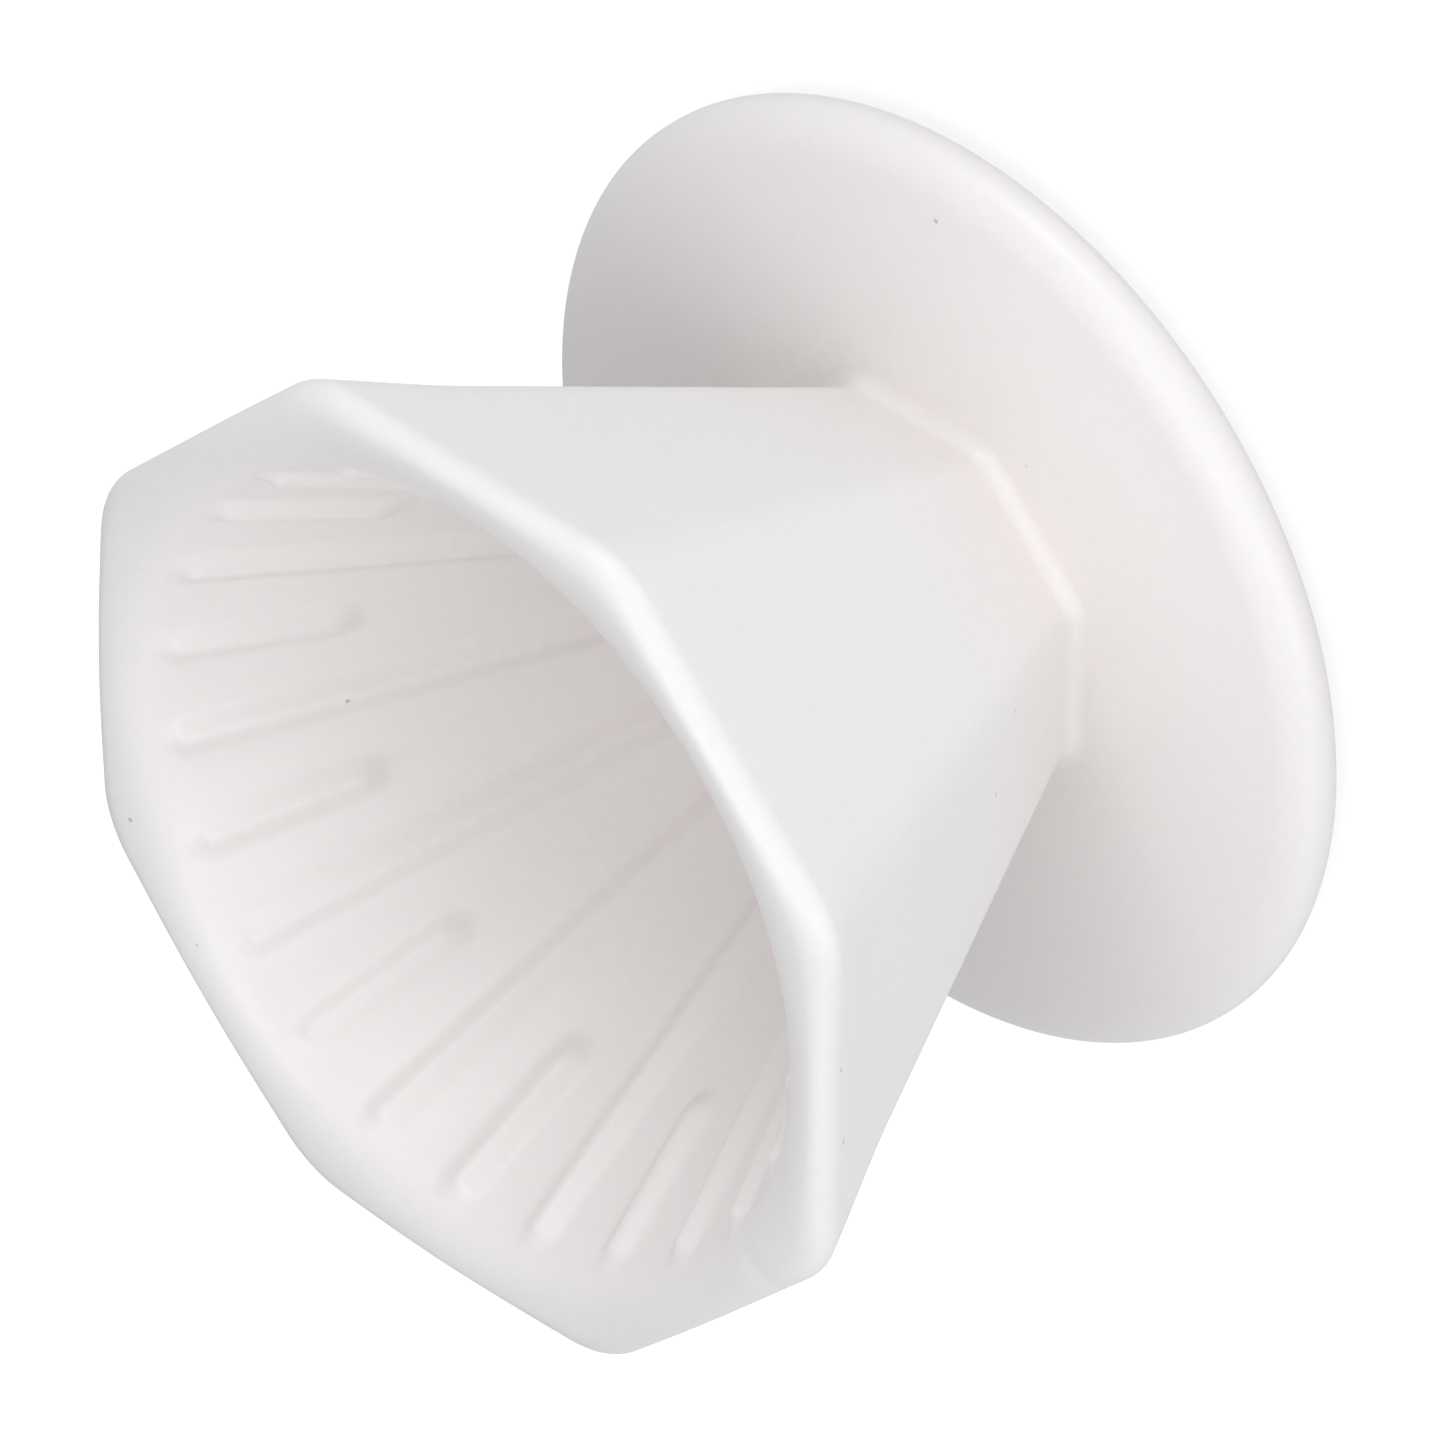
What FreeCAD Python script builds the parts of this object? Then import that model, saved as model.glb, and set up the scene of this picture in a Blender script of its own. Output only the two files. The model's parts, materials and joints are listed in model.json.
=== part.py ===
"""Octagonal pour-over coffee dripper in glazed porcelain, as the pieces a pottery joins with slip.

The origin is under the middle of the foot, +Z points up out of the mouth, and every size is in millimetres.
"""
import FreeCAD, Part
import math
import os

from FreeCAD import Vector

# Cone body, outside. Flat k of the octagon faces k * 45 degrees.
SIDES = 8
MOUTH_ACROSS_FLATS = 107.2      # at the lip's plane, before its edge is rounded
NECK_ACROSS_FLATS = 43.0
CONE_HEIGHT = 69.0              # from the saucer's top face to the lip
MOUTH_CORNER_RADIUS = 11.5
NECK_CORNER_RADIUS = 4.0
LIP_FLARE = 0.7                 # how far the wall turns out near the lip
LIP_FLARE_HEIGHT = 20.0
LIP_OUTER_RADIUS = 2.5
LIP_INNER_RADIUS = 4.5
LIP_CREST = 0.2                 # the least flat left between the lip's two roundings

# Cone body, inside. These sizes make a 55 degree cone, a little steeper than a conical paper filter's 60.
LIP_WIDTH = 6.5                 # from the middle of a flat to the round mouth, before both are rounded
OUTLET_RADIUS = 11.0
SPOUT_WALL = 3.0
SPOUT_DROP = 3.0                # how far the spout stands below the saucer
SPOUT_EDGE_RADIUS = 0.8

# Ribs that hold the filter off the wall, long and short in turn
RIB_PAIRS = 12
FIRST_LONG_RIB = -3.9           # its direction, in degrees from +X
RIB_RADIUS = 1.5
RIB_PROUD = 0.9
RIB_TOP_BELOW_LIP = 3.6
SHORT_RIB_HEIGHT = 17.2
LONG_RIB_ABOVE_OUTLET = 9.0

# Saucer
SAUCER_RADIUS = 54.5
SAUCER_THICKNESS = 6.6
SAUCER_EDGE_FLAT = 0.4          # what the edge's two roundings leave between them
RELIEF_WIDTH = 1.5              # of the shallow groove round the ring, so that a mug's rim seats flat
RELIEF_DEPTH = 0.5

# Locating ring, which is also the foot
RING_OUTER_RADIUS = 34.0
RING_WALL = 3.5
RING_HEIGHT = 4.0
RING_EDGE_RADIUS = 0.9

SAUCER_BOTTOM = RING_HEIGHT
SAUCER_TOP = SAUCER_BOTTOM + SAUCER_THICKNESS
LIP_TOP = SAUCER_TOP + CONE_HEIGHT
SPOUT_RADIUS = OUTLET_RADIUS + SPOUT_WALL
SPOUT_BOTTOM = SAUCER_BOTTOM - SPOUT_DROP
MOUTH_RADIUS = MOUTH_ACROSS_FLATS / 2 - LIP_WIDTH
FILTER_HALF_ANGLE = math.atan2(MOUTH_RADIUS - OUTLET_RADIUS, CONE_HEIGHT)


def polar(radius, degrees, z):
    angle = math.radians(degrees)
    return Vector(radius * math.cos(angle), radius * math.sin(angle), z)


def edges_at(solid, height):
    """The solid's level edges at a height."""
    boxes = [(edge, edge.BoundBox) for edge in solid.Edges]
    return [edge for edge, box in boxes if box.ZLength < 1e-6 and abs(box.ZMin - height) < 1e-6]


def tube(outer_radius, wall, height, bottom):
    base = Vector(0, 0, bottom)
    return Part.makeCylinder(outer_radius, height, base).cut(Part.makeCylinder(outer_radius - wall, height, base))


# Cone body
def octagon(apothem, corner_radius, z):
    """A closed wire of eight flats and eight corner arcs at height z."""
    half_step = 180.0 / SIDES
    corner = (apothem - corner_radius) / math.cos(math.radians(half_step))
    edges = []
    for side in range(SIDES):
        flat = 2 * half_step * side
        last = polar(corner, flat - half_step, z)
        this = polar(corner, flat + half_step, z)
        start, end = last + polar(corner_radius, flat, 0), this + polar(corner_radius, flat, 0)
        middle = this + polar(corner_radius, flat + half_step, 0)
        turned = this + polar(corner_radius, flat + 2 * half_step, 0)
        edges.append(Part.makeLine(start, end))
        edges.append(Part.Arc(end, middle, turned).toShape())
    return Part.Wire(edges)


def between(lip_value, neck_value, depth):
    """A size of the wall at a depth below the lip, on the straight line from lip to neck."""
    return lip_value + (neck_value - lip_value) * depth / CONE_HEIGHT


MOUTH = MOUTH_ACROSS_FLATS / 2
NECK = NECK_ACROSS_FLATS / 2
FLARE_START = between(MOUTH - LIP_FLARE, NECK, LIP_FLARE_HEIGHT)
LIP_LEAN = math.atan2(MOUTH - FLARE_START, LIP_FLARE_HEIGHT)
# The lip's flat top holds both roundings, so the inner one is no larger than the outer one leaves room for.
LIP_ROOM = LIP_WIDTH - LIP_OUTER_RADIUS * math.tan(math.radians(45) + LIP_LEAN / 2) - LIP_CREST
INNER_RADIUS = min(LIP_INNER_RADIUS, LIP_ROOM / math.tan(math.radians(45) - FILTER_HALF_ANGLE / 2))


def faceted_outside():
    """The octagonal cone with the lip's flare and its rounded outer edge."""
    turn_radius = between(MOUTH_CORNER_RADIUS, NECK_CORNER_RADIUS, LIP_FLARE_HEIGHT)
    sections = [
        octagon(NECK, NECK_CORNER_RADIUS, SAUCER_TOP),
        octagon(FLARE_START, turn_radius, LIP_TOP - LIP_FLARE_HEIGHT),
        octagon(MOUTH, MOUTH_CORNER_RADIUS, LIP_TOP),
    ]
    cone = Part.makeLoft(sections, True, True)
    return cone.makeFillet(LIP_OUTER_RADIUS, edges_at(cone, LIP_TOP))


def filter_hollow():
    """The cone that the paper filter fills, carried on above the lip, and the straight outlet below it."""
    above = LIP_OUTER_RADIUS
    top_radius = MOUTH_RADIUS + above * math.tan(FILTER_HALF_ANGLE)
    cone = Part.makeCone(OUTLET_RADIUS, top_radius, CONE_HEIGHT + above, Vector(0, 0, SAUCER_TOP))
    outlet = Part.makeCylinder(OUTLET_RADIUS, SAUCER_TOP - SPOUT_BOTTOM, Vector(0, 0, SPOUT_BOTTOM))
    return cone.fuse(outlet)


def spout():
    """The round bar that the outlet is bored through, down through the saucer."""
    bar = Part.makeCylinder(SPOUT_RADIUS, SAUCER_TOP - SPOUT_BOTTOM, Vector(0, 0, SPOUT_BOTTOM))
    return bar.makeFillet(SPOUT_EDGE_RADIUS, edges_at(bar, SPOUT_BOTTOM))


def rib(azimuth, top_depth, bottom_depth):
    """A ball-ended bar sunk in the wall along the cone's slope, so that RIB_PROUD of it stands out."""
    sunk = RIB_RADIUS - RIB_PROUD
    ends = []
    for depth in (top_depth, bottom_depth):
        wall = MOUTH_RADIUS - depth * math.tan(FILTER_HALF_ANGLE)
        out = wall + sunk * math.cos(FILTER_HALF_ANGLE)
        ends.append(polar(out, azimuth, LIP_TOP - depth - sunk * math.sin(FILTER_HALF_ANGLE)))
    top, bottom = ends
    bar = Part.makeCylinder(RIB_RADIUS, (top - bottom).Length, bottom, top - bottom)
    return bar.fuse([Part.makeSphere(RIB_RADIUS, top), Part.makeSphere(RIB_RADIUS, bottom)])


def ribs():
    top = RIB_TOP_BELOW_LIP + RIB_RADIUS
    long_bottom = CONE_HEIGHT - LONG_RIB_ABOVE_OUTLET
    short_bottom = RIB_TOP_BELOW_LIP + SHORT_RIB_HEIGHT - RIB_RADIUS
    step = 360.0 / RIB_PAIRS
    made = []
    for pair in range(RIB_PAIRS):
        azimuth = FIRST_LONG_RIB + pair * step
        made.append(rib(azimuth, top, long_bottom))
        made.append(rib(azimuth + step / 2, top, short_bottom))
    return made


def cone_body():
    body = faceted_outside().fuse(spout()).cut(filter_hollow())
    mouth = [edge for edge in edges_at(body, LIP_TOP) if len(edge.Vertexes) == 1]
    body = body.makeFillet(INNER_RADIUS, mouth)
    return body.fuse(ribs()).removeSplitter()


# Saucer
def saucer():
    disc = Part.makeCylinder(SAUCER_RADIUS, SAUCER_THICKNESS, Vector(0, 0, SAUCER_BOTTOM))
    edges = edges_at(disc, SAUCER_BOTTOM) + edges_at(disc, SAUCER_TOP)
    disc = disc.makeFillet((SAUCER_THICKNESS - SAUCER_EDGE_FLAT) / 2, edges)
    hole = Part.makeCylinder(SPOUT_RADIUS, SAUCER_THICKNESS, Vector(0, 0, SAUCER_BOTTOM))
    relief = tube(RING_OUTER_RADIUS + RELIEF_WIDTH, RELIEF_WIDTH, RELIEF_DEPTH, SAUCER_BOTTOM)
    return disc.cut([hole, relief])


# Locating ring
def locating_ring():
    ring = tube(RING_OUTER_RADIUS, RING_WALL, RING_HEIGHT, 0.0)
    return ring.makeFillet(RING_EDGE_RADIUS, edges_at(ring, 0.0))


PIECES = {
    "cone_body": cone_body,
    "saucer": saucer,
    "locating_ring": locating_ring,
}

os.makedirs("parts", exist_ok=True)
for name, make in PIECES.items():
    shape = make()
    box = shape.optimalBoundingBox()
    print(f"{name}: {len(shape.Solids)} solid, valid {shape.isValid()}, {shape.Volume / 1000:.1f} cm3,",
          f"{box.XLength:.1f} x {box.YLength:.1f} x {box.ZLength:.1f} mm")
    shape.exportStep(f"parts/{name}.step")
print(f"filter cone {2 * math.degrees(FILTER_HALF_ANGLE):.1f} degrees, mouth radius {MOUTH_RADIUS:.2f} mm")
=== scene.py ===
"""Visual model of an octagonal porcelain coffee dripper, built around its CAD frame, and its studio.

Shapes are worked out in millimetres and turned into metres as each mesh is made.
"""
import json
import math

import bpy
from mathutils import Matrix, Vector, noise


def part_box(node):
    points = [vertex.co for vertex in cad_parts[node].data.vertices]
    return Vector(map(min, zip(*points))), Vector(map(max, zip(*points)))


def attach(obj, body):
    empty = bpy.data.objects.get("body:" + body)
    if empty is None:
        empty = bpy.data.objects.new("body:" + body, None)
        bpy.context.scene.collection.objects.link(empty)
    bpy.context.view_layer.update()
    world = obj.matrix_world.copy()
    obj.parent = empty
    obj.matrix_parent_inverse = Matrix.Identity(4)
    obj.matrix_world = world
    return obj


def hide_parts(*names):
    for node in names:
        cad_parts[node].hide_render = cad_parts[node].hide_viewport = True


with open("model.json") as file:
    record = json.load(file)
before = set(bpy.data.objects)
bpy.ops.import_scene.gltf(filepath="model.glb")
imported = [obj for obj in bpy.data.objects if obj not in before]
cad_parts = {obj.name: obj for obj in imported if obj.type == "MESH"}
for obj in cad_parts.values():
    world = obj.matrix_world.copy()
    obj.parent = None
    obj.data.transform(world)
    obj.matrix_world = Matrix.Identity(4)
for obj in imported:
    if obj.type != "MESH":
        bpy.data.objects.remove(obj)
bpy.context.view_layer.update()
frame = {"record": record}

MM = 0.001

# Places that the frame gives, in millimetres
CONE_LOW, CONE_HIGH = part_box("cone_body")
SAUCER_LOW, SAUCER_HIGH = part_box("saucer")
MOUNTS = {mount["name"]: mount["dims"] for mount in frame["record"]["mounts"]}
LIP_TOP = CONE_HIGH[2] / MM
SPOUT_BOTTOM = CONE_LOW[2] / MM
SAUCER_TOP = SAUCER_HIGH[2] / MM
SAUCER_BOTTOM = SAUCER_LOW[2] / MM
SAUCER_RADIUS = SAUCER_HIGH[0] / MM
RING_RADIUS = MOUNTS["locating_ring"]["r_mm"]
OUTLET_RADIUS = MOUNTS["outlet"]["r_mm"]
CONE_HEIGHT = LIP_TOP - SAUCER_TOP

# Cone body, outside. Half widths are from the axis to the middle of a flat.
SIDES = 8
MOUTH = 53.6                         # half width at the lip's plane, before the lip is rounded
NECK = 21.5
MOUTH_CORNER_RADIUS = 11.5
NECK_CORNER_RADIUS = 4.0
LIP_FLARE = 0.7
LIP_FLARE_HEIGHT = 20.0
LIP_ROLL_OUT = 3.6                   # how far below the lip's plane its rounding ends, outside
LIP_ROLL_IN = 2.6                    # and inside
LIP_CREST = 0.52                     # where the crest runs across the lip, as a share from inside
DENT = math.radians(-165)            # direction of the lip's one shallow dent
DENT_DEPTH = 0.15
DENT_WIDTH = 2.6
COVE_UP = 2.1                        # how far the slip smoothed over the joint reaches up the wall
COVE_OUT = 2.4                       # and out over the saucer
COVE_SUNK = 0.005                    # so that the cove runs out just under the saucer's face
COVE_WEIGHT = 0.65

# Cone body, inside
MOUTH_RADIUS = 47.1                  # where the filter cone's line meets the lip's plane
SPOUT_WALL = 3.0
SPOUT_RADIUS = OUTLET_RADIUS + SPOUT_WALL
SPOUT_EDGE_RADIUS = 0.8
HALF_ANGLE = math.atan2(MOUTH_RADIUS - OUTLET_RADIUS, CONE_HEIGHT)
SLANT = CONE_HEIGHT / math.cos(HALF_ANGLE)

# Ribs. Their tops and ends are first given as heights, then down the slope from the lip's plane.
RIB_TOP_BELOW_LIP = 3.6
SHORT_RIB_END_BELOW_LIP = 20.8
LONG_RIB_ABOVE_OUTLET = 9.0
RIB_PAIRS = 12
FIRST_LONG_RIB = math.radians(-3.9)
RIB_RADIUS = 1.5
RIB_PROUD = 1.3
RIB_FOOT = 2.9                       # how far from its middle line a rib has run out into the wall
RIB_TOP_BLUNT = 1.3                  # how many times shorter it runs out at its top
RIB_END_DRAWN = 1.6                  # and how many times longer at its lower end
RIB_TOP = RIB_TOP_BELOW_LIP / math.cos(HALF_ANGLE)
SHORT_RIB_END = SHORT_RIB_END_BELOW_LIP / math.cos(HALF_ANGLE)
LONG_RIB_END = (CONE_HEIGHT - LONG_RIB_ABOVE_OUTLET) / math.cos(HALF_ANGLE) + RIB_RADIUS

# Saucer and ring
SAUCER_EDGE_RADIUS = 3.1
SAUCER_EDGE_WIDTH = 4.6              # the upper rounding is drawn in this far over the top face
RING_WALL = 3.5
RING_EDGE_RADIUS = 0.9
RELIEF_WIDTH = 1.5
RELIEF_DEPTH = 0.5

# Glaze
GLAZE_WARM = (0.884, 0.855, 0.842)
GLAZE_COOL = (0.887, 0.864, 0.858)
GLAZE_THIN = (0.858, 0.829, 0.815)
PAINTED_BOUNCE_LIGHT = (0.904, 0.850, 0.818) # painted warm bounce light, inside the cone and round its foot
# how strong the painted warm bounce light is at its most
PAINTED_BOUNCE_SHARE = 0.8
PIT_COLOUR = (0.58, 0.54, 0.51)
PIT_CELLS = 150                      # to the metre, so each is 6.7 mm wide
PIT_RADIUS = 0.045                   # as a share of a cell
PIT_SHARE = 0.22                     # of the cells that hold a pit
PIT_DEPTH = 0.0001                   # this and the heights below are in metres, scales are per metre
MOTTLE_SCALE = 45
FLECK_SCALE = 900
SMOOTHEST, ROUGHEST = 0.38, 0.49
ROUGHNESS_SCALE = 220
WAVE_SCALE, WAVE_HEIGHT = 90, 0.00006
TOOTH_SCALE, TOOTH_HEIGHT = 1400, 0.000006
GLAZE_IOR = 1.5
LIP_BLEND_IN, LIP_BLEND_OUT = 3, 1   # how far each side of the wall's middle the painted bounce light fades
# the painted bounce light round the foot fades out between these heights over the saucer's face, in
# millimetres
FOOT_BOUNCE_LOW, FOOT_BOUNCE_HIGH = 5, 25

# Meshes: their columns and rows, and how they are kept from being too even
HALF_SECTOR = 10                     # on each side of every rib
DENSE = 7                            # of those, how many lie across the rib
DENSE_STEP = 0.44
DENSE_MOST = 0.8                     # the most of its sector that a rib's dense columns take
LONG_RIB_ROOM = 1.25                 # a long rib's sector against its dense columns
LONG_SECTOR_MOST = 1.67              # and against an even share of the circle, at the most
ROUND_COLUMNS = 256
WAVINESS = 0.12                      # the most that a surface dips
WAVE_LENGTH = 18.0
JOINT_FLUSH = 8.0                    # how far round the joint there are no dips
LIP_STEPS = 12                       # rows on each side of the lip's crest
COARSE_STEP, FINE_STEP = 1.5, 0.35   # from row to row of the ribbed wall, and near rib ends
FINE_ABOVE_TOP, FINE_BEFORE_END, FINE_PAST = 1.0, 3.0, 2.5
LAST_ROW_CLEAR = 0.3                 # the last step down to the outlet is no shorter
BORE_ROWS, WALL_ROWS, COVE_ROWS = 5, 40, 14
FACE_ROWS, UPPER_EDGE_ROWS, LOWER_EDGE_ROWS, UNDERSIDE_ROWS = 12, 16, 12, 5
SPOUT_EDGE_ROWS, RING_EDGE_ROWS = 7, 6
COVE_RUN_OUT, COVE_RUN_OUT_DROP = 0.3, 0.01
SHARP_EDGE = math.radians(40)        # edges sharper than this aren't smoothed
BURIED = 0.3                         # how deep the cone body's bottom face lies in the saucer


def smooth(t):
    t = min(max(t, 0.0), 1.0)
    return t * t * (3 - 2 * t)


def mix(a, b, t):
    return a + (b - a) * t


def spread(low, high, count):
    """count values from low to high, both included."""
    return [mix(low, high, i / (count - 1)) for i in range(count)]


def arc(centre, radius, start, end, count):
    """Points of an arc in the (r, z) half-plane; angles in degrees from +r towards +z."""
    angles = [math.radians(a) for a in spread(start, end, count)]
    return [(centre[0] + radius * math.cos(a), centre[1] + radius * math.sin(a)) for a in angles]


def polar(radius, angle, z):
    return (radius * math.cos(angle), radius * math.sin(angle), z)


def out_of_true(mesh):
    """Takes the machine's evenness off a surface with slow dips, all of them inwards.

    They fade out towards the joint between cone body and saucer, whose two surfaces meet flush.
    """
    normals = [vertex.normal.copy() for vertex in mesh.vertices]
    for vertex, normal in zip(mesh.vertices, normals):
        r, z = math.hypot(vertex.co.x, vertex.co.y) / MM, vertex.co.z / MM
        clear = smooth((math.hypot(r - NECK, z - SAUCER_TOP) - JOINT_FLUSH) / JOINT_FLUSH)
        dip = 0.5 + 0.5 * noise.noise(vertex.co / (WAVE_LENGTH * MM))
        vertex.co -= normal * (WAVINESS * MM * clear * min(max(dip, 0.0), 1.0))


def grid_mesh(name, rows):
    """A closed skin through rows of points that wraps both ways, like a ring doughnut.

    The first row to the last run counter-clockwise round the solid's section, seen with +r to the right.
    """
    across = len(rows[0])
    points = [tuple(MM * value for value in point) for row in rows for point in row]
    faces = []
    for i in range(len(rows)):
        below, above = i * across, (i + 1) % len(rows) * across
        for j in range(across):
            k = (j + 1) % across
            faces.append((below + j, below + k, above + k, above + j))
    mesh = bpy.data.meshes.new(name)
    mesh.from_pydata(points, [], faces)
    mesh.validate()
    out_of_true(mesh)
    mesh.polygons.foreach_set("use_smooth", [True] * len(mesh.polygons))
    mesh.set_sharp_from_angle(angle=SHARP_EDGE)
    mesh.update()
    piece = bpy.data.objects.new(name, mesh)
    bpy.context.scene.collection.objects.link(piece)
    return piece


def turned(name, outline):
    """A piece turned on the +Z axis from a closed outline of (r, z) points, counter-clockwise."""
    angles = [2 * math.pi * i / ROUND_COLUMNS for i in range(ROUND_COLUMNS)]
    return grid_mesh(name, [[polar(r, angle, z) for angle in angles] for r, z in outline])


# Cone body
def octagon_radius(angle, apothem, corner_radius):
    """Distance from the axis to an octagon with rounded corners, whose flats face k * 45 degrees."""
    half = math.pi / SIDES
    off = abs((angle + half) % (2 * half) - half)
    if math.tan(off) * apothem <= (apothem - corner_radius) * math.tan(half):
        return apothem / math.cos(off)
    centre = (apothem - corner_radius) / math.cos(half)
    across = centre * math.sin(half - off)
    return centre * math.cos(half - off) + math.sqrt(corner_radius ** 2 - across ** 2)


def wall_apothem(depth):
    straight = mix(MOUTH - LIP_FLARE, NECK, depth / CONE_HEIGHT)
    return straight + LIP_FLARE * (1 - smooth(depth / LIP_FLARE_HEIGHT))


def corner_radius(depth):
    return mix(MOUTH_CORNER_RADIUS, NECK_CORNER_RADIUS, depth / CONE_HEIGHT)


def rib_height(across, along, end):
    """How far a rib that ends at end stands out of the wall, across its line and along the slope."""
    above = (RIB_TOP + RIB_RADIUS - along) * RIB_TOP_BLUNT
    below = (along - (end - RIB_RADIUS)) / RIB_END_DRAWN
    distance = math.hypot(across, max(above, below, 0.0))
    return RIB_PROUD * (1 - smooth(distance / RIB_FOOT))


def inner_columns(radius):
    """For each column, its angle at this radius, and its offset and rib length for the nearest rib."""
    half = math.pi / (2 * RIB_PAIRS)
    dense_angle = DENSE * DENSE_STEP / radius
    edge = min(max(half, LONG_RIB_ROOM * dense_angle), LONG_SECTOR_MOST * half)
    columns = []
    for pair in range(RIB_PAIRS):
        long_rib = FIRST_LONG_RIB + pair * 4 * half
        short_rib = long_rib + 2 * half
        ribs = ((long_rib, edge, LONG_RIB_END), (short_rib, 2 * half - edge, SHORT_RIB_END))
        for centre, width, end in ribs:
            dense = min(dense_angle, DENSE_MOST * width)
            for step in range(-HALF_SECTOR, HALF_SECTOR):
                if abs(step) <= DENSE:
                    off = dense * step / DENSE
                else:
                    rest = (abs(step) - DENSE) / (HALF_SECTOR - DENSE)
                    off = math.copysign(mix(dense, width, rest), step)
                columns.append((centre + off, off * radius, end))
    return columns


def inner_row(slope_depth):
    """One row of the ribbed wall, at a distance down the slope from the lip's plane."""
    radius = MOUTH_RADIUS - slope_depth * math.sin(HALF_ANGLE)
    z = LIP_TOP - slope_depth * math.cos(HALF_ANGLE)
    row = []
    for angle, across, end in inner_columns(radius):
        proud = rib_height(across, slope_depth, end)
        row.append(polar(radius - proud * math.cos(HALF_ANGLE), angle, z + proud * math.sin(HALF_ANGLE)))
    return row


def inner_rows():
    """Rows up the ribbed wall, from the outlet to the lip's inner rounding, close together at rib ends."""
    fine = [(RIB_TOP - FINE_ABOVE_TOP, RIB_TOP + FINE_PAST)]
    fine += [(end - FINE_BEFORE_END, end + FINE_PAST) for end in (SHORT_RIB_END, LONG_RIB_END)]
    depths = []
    depth = LIP_ROLL_IN / math.cos(HALF_ANGLE)
    while depth < SLANT - LAST_ROW_CLEAR:
        depths.append(depth)
        depth += FINE_STEP if any(low <= depth <= high for low, high in fine) else COARSE_STEP
    depths.append(SLANT)
    return [inner_row(value) for value in reversed(depths)]


def circle_row(radius, z, angles):
    return [polar(radius, angle, z) for angle in angles]


def octagon_row(apothem, radius, z, angles):
    return [polar(octagon_radius(angle, apothem, radius), angle, z) for angle in angles]


def conic(start, corner, end, weight, t):
    """A point of the rounding from start to end that two straight lines through corner are tangent to."""
    shares = ((1 - t) ** 2, 2 * weight * t * (1 - t), t * t)
    whole = sum(shares)
    return [sum(share * place for share, place in zip(shares, places)) / whole
            for places in zip(start, corner, end)]


def dent(angle, radius):
    """How deep the lip's one shallow dent is, at an angle and a radius."""
    off = abs((angle - DENT + math.pi) % (2 * math.pi) - math.pi) * radius
    return DENT_DEPTH * (1 - smooth(off / DENT_WIDTH))


def lip_rows(inner_angles, outer_angles):
    """Over the lip in one continuous rounding, from the ribbed wall to the faceted one."""
    low_in = (MOUTH_RADIUS - LIP_ROLL_IN * math.tan(HALF_ANGLE), LIP_TOP - LIP_ROLL_IN)
    out_apothem, out_corner = wall_apothem(LIP_ROLL_OUT), corner_radius(LIP_ROLL_OUT)
    lean = math.atan2(MOUTH - out_apothem, LIP_ROLL_OUT)
    inner_weight = math.cos((math.pi / 2 - HALF_ANGLE) / 2)
    outer_weight = math.cos((math.pi / 2 + lean) / 2)
    rows = []
    for i in range(1, 2 * LIP_STEPS + 1):
        across = i / LIP_STEPS
        row = []
        for a, b in zip(inner_angles, outer_angles):
            angle = mix(a, b, smooth(across / 2))
            sharp = octagon_radius(angle, MOUTH, MOUTH_CORNER_RADIUS)
            crest = (mix(MOUTH_RADIUS, sharp, LIP_CREST), LIP_TOP)
            if across <= 1:
                r, z = conic(low_in, (MOUTH_RADIUS, LIP_TOP), crest, inner_weight, across)
            else:
                low_out = (octagon_radius(angle, out_apothem, out_corner), LIP_TOP - LIP_ROLL_OUT)
                r, z = conic(crest, (sharp, LIP_TOP), low_out, outer_weight, across - 1)
            row.append(polar(r, angle, z - dent(angle, r) * math.sin(math.pi * across / 2)))
        rows.append(row)
    return rows


def outer_rows(angles):
    """Down the faceted wall, then the cove that runs out onto the saucer."""
    rows = []
    cove_depth = CONE_HEIGHT - COVE_UP
    for depth in spread(LIP_ROLL_OUT, cove_depth, WALL_ROWS)[1:]:
        rows.append(octagon_row(wall_apothem(depth), corner_radius(depth), LIP_TOP - depth, angles))
    start, turn = wall_apothem(cove_depth), corner_radius(cove_depth)
    level = SAUCER_TOP - COVE_SUNK
    top, end = (start, LIP_TOP - cove_depth), (NECK + COVE_OUT, level)
    cove = [conic(top, (NECK, level), end, COVE_WEIGHT, t) for t in spread(0, 1, COVE_ROWS)[1:]]
    cove += [(end[0] + COVE_RUN_OUT, level - COVE_RUN_OUT_DROP)]
    for r, z in cove:
        rows.append(octagon_row(r, turn + r - start, z, angles))
    return rows


def cone_body():
    inner_angles = [angle for angle, across, end in inner_columns(MOUTH_RADIUS)]
    low_angles = [angle for angle, across, end in inner_columns(OUTLET_RADIUS)]
    count = len(inner_angles)
    outer_angles = [inner_angles[0] + 2 * math.pi * i / count for i in range(count)]
    rows = [circle_row(OUTLET_RADIUS, z, low_angles)
            for z in spread(SPOUT_BOTTOM, SAUCER_TOP, BORE_ROWS)[:-1]]
    rows += inner_rows()
    rows += lip_rows(inner_angles, outer_angles)
    rows += outer_rows(outer_angles)
    rows.append(octagon_row(NECK, NECK_CORNER_RADIUS, SAUCER_TOP - BURIED, outer_angles))
    rows.append(circle_row(SPOUT_RADIUS, SAUCER_TOP - BURIED, outer_angles))
    edge = (SPOUT_RADIUS - SPOUT_EDGE_RADIUS, SPOUT_BOTTOM + SPOUT_EDGE_RADIUS)
    for r, z in arc(edge, SPOUT_EDGE_RADIUS, 0, -90, SPOUT_EDGE_ROWS):
        rows.append(circle_row(r, z, outer_angles))
    rows.reverse()
    return grid_mesh("Cone_body", rows)


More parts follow.
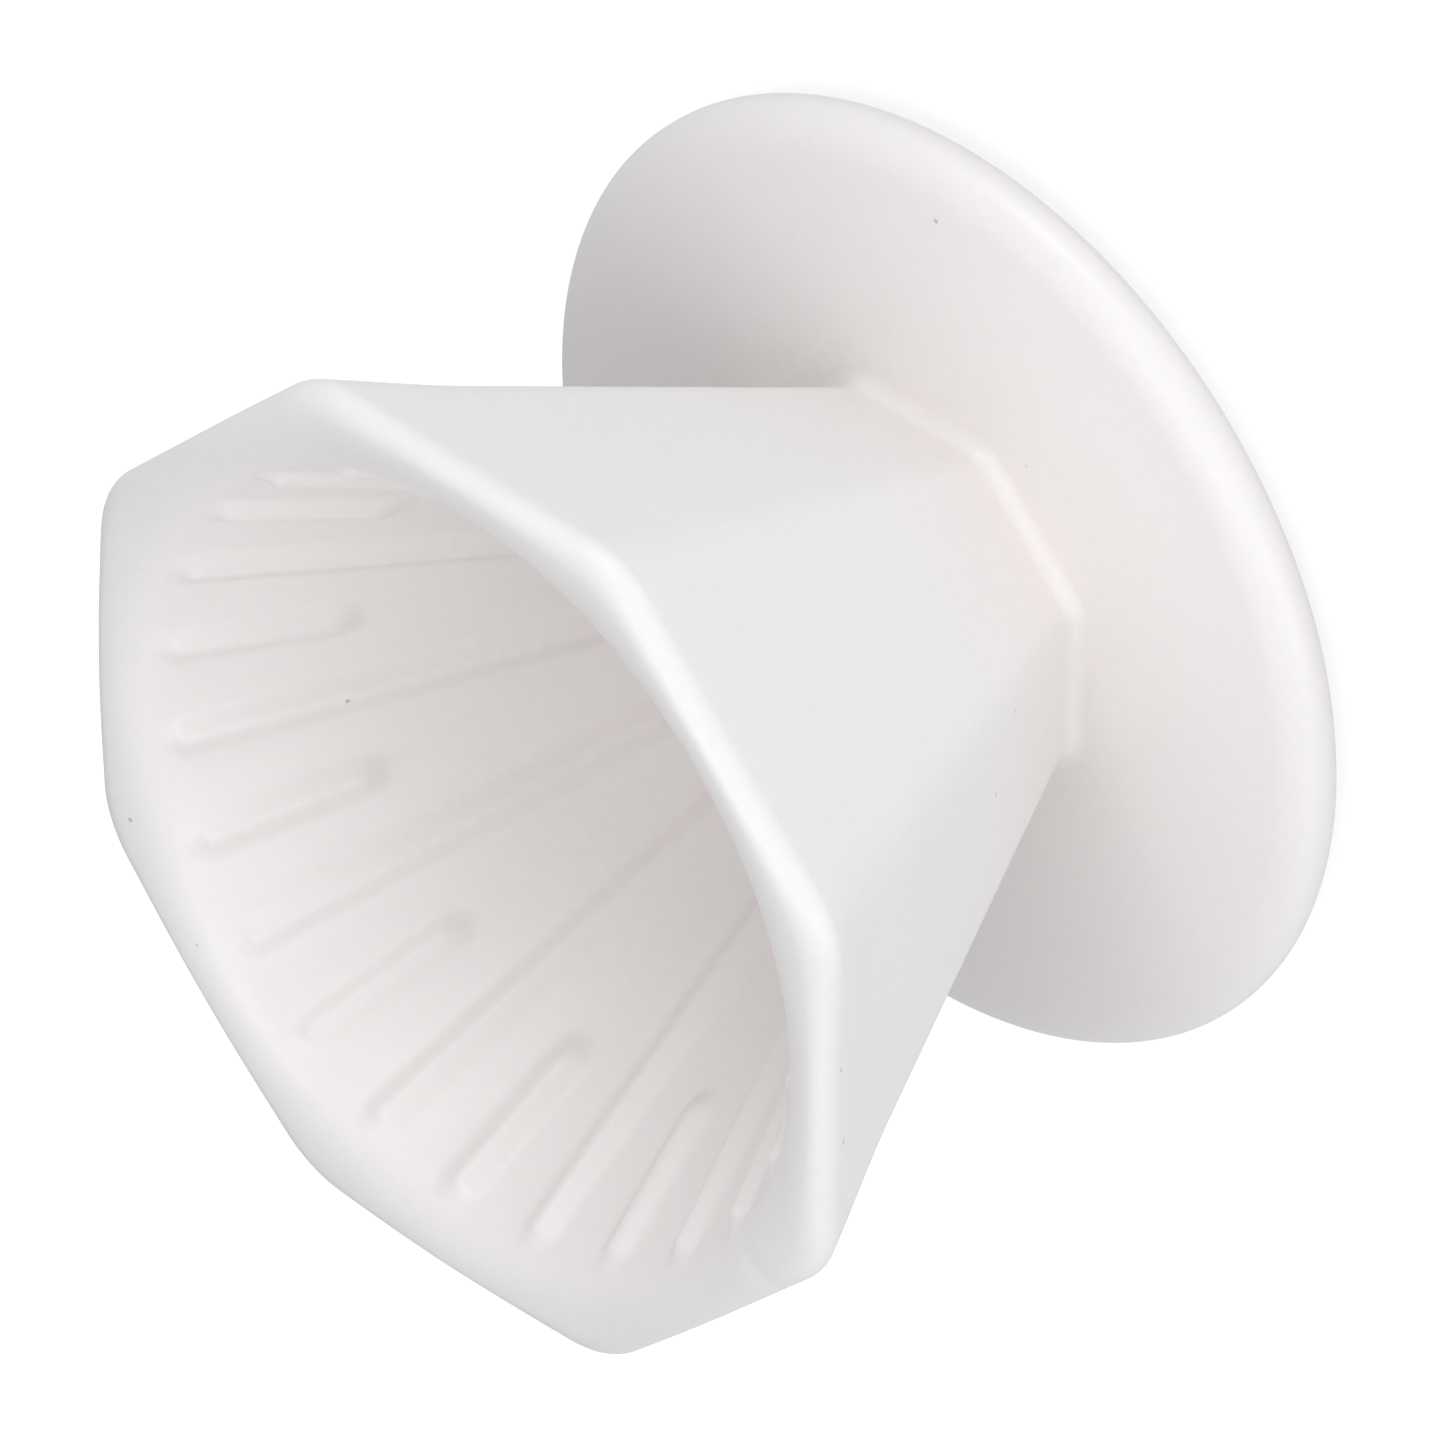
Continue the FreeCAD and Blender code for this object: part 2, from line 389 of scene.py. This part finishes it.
# Saucer
def saucer():
    edge = SAUCER_RADIUS - SAUCER_EDGE_RADIUS
    outline = [(SPOUT_RADIUS, SAUCER_TOP)]
    middle = (SAUCER_RADIUS, (SAUCER_TOP + SAUCER_BOTTOM) / 2)
    top = (SAUCER_RADIUS - SAUCER_EDGE_WIDTH, SAUCER_TOP)
    outline += [(r, SAUCER_TOP) for r in spread(SPOUT_RADIUS, top[0], FACE_ROWS)[1:-1]]
    outline += [conic(top, (SAUCER_RADIUS, SAUCER_TOP), middle, math.cos(math.pi / 4), t)
                for t in spread(0, 1, UPPER_EDGE_ROWS)]
    turn = (edge, SAUCER_BOTTOM + SAUCER_EDGE_RADIUS)
    outline += arc(turn, SAUCER_EDGE_RADIUS, 0, -90, LOWER_EDGE_ROWS)
    outline += [(r, SAUCER_BOTTOM) for r in spread(edge, RING_RADIUS + RELIEF_WIDTH, UNDERSIDE_ROWS)[1:]]
    outline += [(RING_RADIUS + RELIEF_WIDTH, SAUCER_BOTTOM + RELIEF_DEPTH)]
    outline += [(RING_RADIUS, SAUCER_BOTTOM + RELIEF_DEPTH), (RING_RADIUS, SAUCER_BOTTOM)]
    outline += [(SPOUT_RADIUS, SAUCER_BOTTOM)]
    outline.reverse()
    return turned("Saucer", outline)


# Locating ring
def locating_ring():
    inside = RING_RADIUS - RING_WALL
    outline = [(inside, SAUCER_BOTTOM)]
    for r, start, end in ((inside + RING_EDGE_RADIUS, 180, 270), (RING_RADIUS - RING_EDGE_RADIUS, -90, 0)):
        outline += arc((r, RING_EDGE_RADIUS), RING_EDGE_RADIUS, start, end, RING_EDGE_ROWS)
    outline += [(RING_RADIUS, SAUCER_BOTTOM)]
    return turned("Locating_ring", outline)


# Material
def add_noise(nodes, links, place, scale, detail):
    texture = nodes.new("ShaderNodeTexNoise")
    texture.inputs["Scale"].default_value = scale
    texture.inputs["Detail"].default_value = detail
    links.new(place, texture.inputs["Vector"])
    return texture.outputs["Fac"]


def add_range(nodes, links, value, low, high, to_low, to_high):
    ranged = nodes.new("ShaderNodeMapRange")
    for socket, number in (("From Min", low), ("From Max", high), ("To Min", to_low), ("To Max", to_high)):
        ranged.inputs[socket].default_value = number
    links.new(value, ranged.inputs["Value"])
    return ranged.outputs["Result"]


def add_math(nodes, links, operation, first, second):
    made = nodes.new("ShaderNodeMath")
    made.operation = operation
    links.new(first, made.inputs[0])
    links.new(second, made.inputs[1])
    return made.outputs["Value"]


def add_mix(nodes, links, factor, first, second):
    """A colour between two, each a colour or the output of another node."""
    made = nodes.new("ShaderNodeMix")
    made.data_type = "RGBA"
    links.new(factor, made.inputs["Factor"])
    for socket, colour in (("A", first), ("B", second)):
        place = next(entry for entry in made.inputs if entry.name == socket and entry.type == "RGBA")
        if isinstance(colour, tuple):
            place.default_value = (*colour, 1)
        else:
            links.new(colour, place)
    return next(entry for entry in made.outputs if entry.type == "RGBA")


def add_bump(nodes, links, height, distance, below=None):
    bump = nodes.new("ShaderNodeBump")
    bump.inputs["Distance"].default_value = distance
    links.new(height, bump.inputs["Height"])
    if below is not None:
        links.new(below, bump.inputs["Normal"])
    return bump.outputs["Normal"]


def add_pinholes(nodes, links, place):
    """1 in the few small pits that gas leaves in a glaze, 0 elsewhere."""
    cells = nodes.new("ShaderNodeTexVoronoi")
    cells.inputs["Scale"].default_value = PIT_CELLS
    links.new(place, cells.inputs["Vector"])
    pit = add_range(nodes, links, cells.outputs["Distance"], PIT_RADIUS, 0.5 * PIT_RADIUS, 0, 1)
    split = nodes.new("ShaderNodeSeparateColor")
    links.new(cells.outputs["Color"], split.inputs["Color"])
    chosen = add_range(nodes, links, split.outputs["Red"], 1 - PIT_SHARE, 1.0001 - PIT_SHARE, 0, 1)
    return add_math(nodes, links, "MULTIPLY", pit, chosen)


def add_painted_bounce(nodes, links, place):
    """How much painted warm bounce light there is: on the ribbed side of the wall and towards the saucer.
    """
    low, high = (OUTLET_RADIUS + NECK) / 2, (MOUTH_RADIUS + MOUTH) / 2
    slope = (high - low) / CONE_HEIGHT
    split = nodes.new("ShaderNodeSeparateXYZ")
    links.new(place, split.inputs["Vector"])
    wall = nodes.new("ShaderNodeMath")
    wall.operation = "MULTIPLY_ADD"
    links.new(split.outputs["Z"], wall.inputs[0])
    wall.inputs[1].default_value = slope
    wall.inputs[2].default_value = MM * (low - slope * SAUCER_TOP)
    level = nodes.new("ShaderNodeVectorMath")
    level.operation = "MULTIPLY"
    links.new(place, level.inputs[0])
    level.inputs[1].default_value = (1, 1, 0)
    radius = nodes.new("ShaderNodeVectorMath")
    radius.operation = "LENGTH"
    links.new(level.outputs["Vector"], radius.inputs[0])
    off = add_math(nodes, links, "SUBTRACT", radius.outputs["Value"], wall.outputs["Value"])
    inside = add_range(nodes, links, off, -LIP_BLEND_IN * MM, LIP_BLEND_OUT * MM, PAINTED_BOUNCE_SHARE, 0)
    low, high = (SAUCER_TOP + FOOT_BOUNCE_LOW) * MM, (SAUCER_TOP + FOOT_BOUNCE_HIGH) * MM
    foot = add_range(nodes, links, split.outputs["Z"], low, high, PAINTED_BOUNCE_SHARE, 0)
    return add_math(nodes, links, "MAXIMUM", inside, foot)


def porcelain():
    """Matte white glaze: faintly mottled, with a fine tooth, slow waves, a few pinholes and painted warm
    bounce light inside the cone and round its foot.
    """
    material = bpy.data.materials.new("Porcelain")
    material.use_nodes = True
    nodes, links = material.node_tree.nodes, material.node_tree.links
    shader = nodes["Principled BSDF"]
    place = nodes.new("ShaderNodeTexCoord").outputs["Object"]
    mottle = add_range(nodes, links, add_noise(nodes, links, place, MOTTLE_SCALE, 3), 0.3, 0.7, 0, 1)
    fleck = add_range(nodes, links, add_noise(nodes, links, place, FLECK_SCALE, 2), 0.35, 0.75, 0, 0.5)
    pits = add_pinholes(nodes, links, place)
    body = add_mix(nodes, links, mottle, GLAZE_WARM, GLAZE_COOL)
    # painted warm bounce light inside the cone and round its foot
    bounce_lit = add_mix(nodes, links, add_painted_bounce(nodes, links, place), body, PAINTED_BOUNCE_LIGHT)
    toothed = add_mix(nodes, links, fleck, bounce_lit, GLAZE_THIN)
    links.new(add_mix(nodes, links, pits, toothed, PIT_COLOUR), shader.inputs["Base Color"])
    uneven = add_noise(nodes, links, place, ROUGHNESS_SCALE, 3)
    rough = add_range(nodes, links, uneven, 0.3, 0.7, SMOOTHEST, ROUGHEST)
    links.new(rough, shader.inputs["Roughness"])
    shader.inputs["IOR"].default_value = GLAZE_IOR
    waves = add_bump(nodes, links, add_noise(nodes, links, place, WAVE_SCALE, 2), WAVE_HEIGHT)
    tooth = add_bump(nodes, links, add_noise(nodes, links, place, TOOTH_SCALE, 3), TOOTH_HEIGHT, waves)
    depth = add_range(nodes, links, pits, 0, 1, 0, -1)
    links.new(add_bump(nodes, links, depth, PIT_DEPTH, tooth), shader.inputs["Normal"])
    return material


# Studio
CAMERA_AZIMUTH = -85.97      # degrees from +X about +Z
CAMERA_ELEVATION = 34.33
CAMERA_ROLL = 122.24
CAMERA_DISTANCE = 1.790
CAMERA_LENS = 434.12
CAMERA_SENSOR = 36
CAMERA_REACH = 10
AIM = Vector((-0.00103, 0.00023, 0.04045))
SOFTBOX_AIM = Vector((0, 0, 0.045))
SOFTBOX_DISTANCE = 0.9
SOFTBOX_SIZE = 0.5
DAYLIGHT = (0.975, 1.0, 1.03)
ROOM_LIGHT = 0.49
FLOOR_REACH = 6.0
FLOOR_COLOUR = (0.8, 0.8, 0.8, 1)
FLOOR_GLOW = 0.057
FLOOR_OVEREXPOSED = 0.5      # what the camera alone sees on top of that


def camera():
    azimuth, elevation = math.radians(CAMERA_AZIMUTH), math.radians(CAMERA_ELEVATION)
    back = Vector(polar(math.cos(elevation), azimuth, math.sin(elevation)))
    data = bpy.data.cameras.new("Camera")
    data.lens = CAMERA_LENS
    data.sensor_width = CAMERA_SENSOR
    data.clip_end = CAMERA_REACH
    made = bpy.data.objects.new("Camera", data)
    bpy.context.scene.collection.objects.link(made)
    upright = (-back).to_track_quat("-Z", "Y").to_matrix()
    turn = upright @ Matrix.Rotation(math.radians(-CAMERA_ROLL), 3, "Z")
    made.matrix_world = Matrix.Translation(AIM + CAMERA_DISTANCE * back) @ turn.to_4x4()
    bpy.context.scene.camera = made


def floor():
    """A white floor that looks as overexposed to the camera as a studio sweep does."""
    corners = [(x * FLOOR_REACH, y * FLOOR_REACH, 0) for x, y in ((-1, -1), (1, -1), (1, 1), (-1, 1))]
    mesh = bpy.data.meshes.new("Floor")
    mesh.from_pydata(corners, [], [(0, 1, 2, 3)])
    made = bpy.data.objects.new("Floor", mesh)
    bpy.context.scene.collection.objects.link(made)
    material = bpy.data.materials.new("Floor")
    material.use_nodes = True
    nodes, links = material.node_tree.nodes, material.node_tree.links
    shader = nodes["Principled BSDF"]
    shader.inputs["Base Color"].default_value = FLOOR_COLOUR
    shader.inputs["Roughness"].default_value = 1.0
    shader.inputs["Specular IOR Level"].default_value = 0.0
    shader.inputs["Emission Color"].default_value = (1, 1, 1, 1)
    shader.inputs["Emission Strength"].default_value = FLOOR_GLOW
    glow = nodes.new("ShaderNodeEmission")
    glow.inputs["Strength"].default_value = FLOOR_OVEREXPOSED
    both, seen = nodes.new("ShaderNodeAddShader"), nodes.new("ShaderNodeMixShader")
    links.new(shader.outputs["BSDF"], both.inputs[0])
    links.new(glow.outputs["Emission"], both.inputs[1])
    links.new(nodes.new("ShaderNodeLightPath").outputs["Is Camera Ray"], seen.inputs["Fac"])
    links.new(shader.outputs["BSDF"], seen.inputs[1])
    links.new(both.outputs["Shader"], seen.inputs[2])
    links.new(seen.outputs["Shader"], nodes["Material Output"].inputs["Surface"])
    mesh.materials.append(material)


def softbox(name, azimuth, elevation, watts):
    """A round soft light that points at the object from a direction in degrees."""
    azimuth, elevation = math.radians(azimuth), math.radians(elevation)
    towards = Vector(polar(math.cos(elevation), azimuth, math.sin(elevation)))
    lamp = bpy.data.lights.new(name, "AREA")
    lamp.shape = "DISK"
    lamp.size = SOFTBOX_SIZE
    lamp.energy = watts
    lamp.color = DAYLIGHT
    made = bpy.data.objects.new(name, lamp)
    bpy.context.scene.collection.objects.link(made)
    turn = towards.to_track_quat("Z", "Y").to_matrix().to_4x4()
    made.matrix_world = Matrix.Translation(SOFTBOX_AIM + SOFTBOX_DISTANCE * towards) @ turn
    made.visible_camera = False


def room():
    """Even light from the whole room, which the camera sees as white."""
    world = bpy.data.worlds.new("Room")
    bpy.context.scene.world = world
    world.use_nodes = True
    nodes, links = world.node_tree.nodes, world.node_tree.links
    light, seen = nodes["Background"], nodes.new("ShaderNodeBackground")
    both = nodes.new("ShaderNodeMixShader")
    light.inputs["Color"].default_value = (*DAYLIGHT, 1)
    light.inputs["Strength"].default_value = ROOM_LIGHT
    seen.inputs["Color"].default_value = (1, 1, 1, 1)
    links.new(nodes.new("ShaderNodeLightPath").outputs["Is Camera Ray"], both.inputs["Fac"])
    links.new(light.outputs["Background"], both.inputs[1])
    links.new(seen.outputs["Background"], both.inputs[2])
    links.new(both.outputs["Shader"], nodes["World Output"].inputs["Surface"])


def studio():
    floor()
    room()
    softbox("Key", -40, 14, 2.2)
    softbox("Fill", -130, 14, 1.35)
    softbox("Top", -85, 64, 1.6)
    softbox("Front", -110, 40, 0.7)
    softbox("Back", 178, 20, 0.7)
    bpy.context.scene.view_settings.view_transform = "Standard"


finish_of_clay = porcelain()
for make, node in ((cone_body, "cone_body"), (saucer, "saucer"), (locating_ring, "locating_ring")):
    piece = make()
    piece.data.materials.append(finish_of_clay)
    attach(piece, "root")
    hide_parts(node)

camera()
studio()
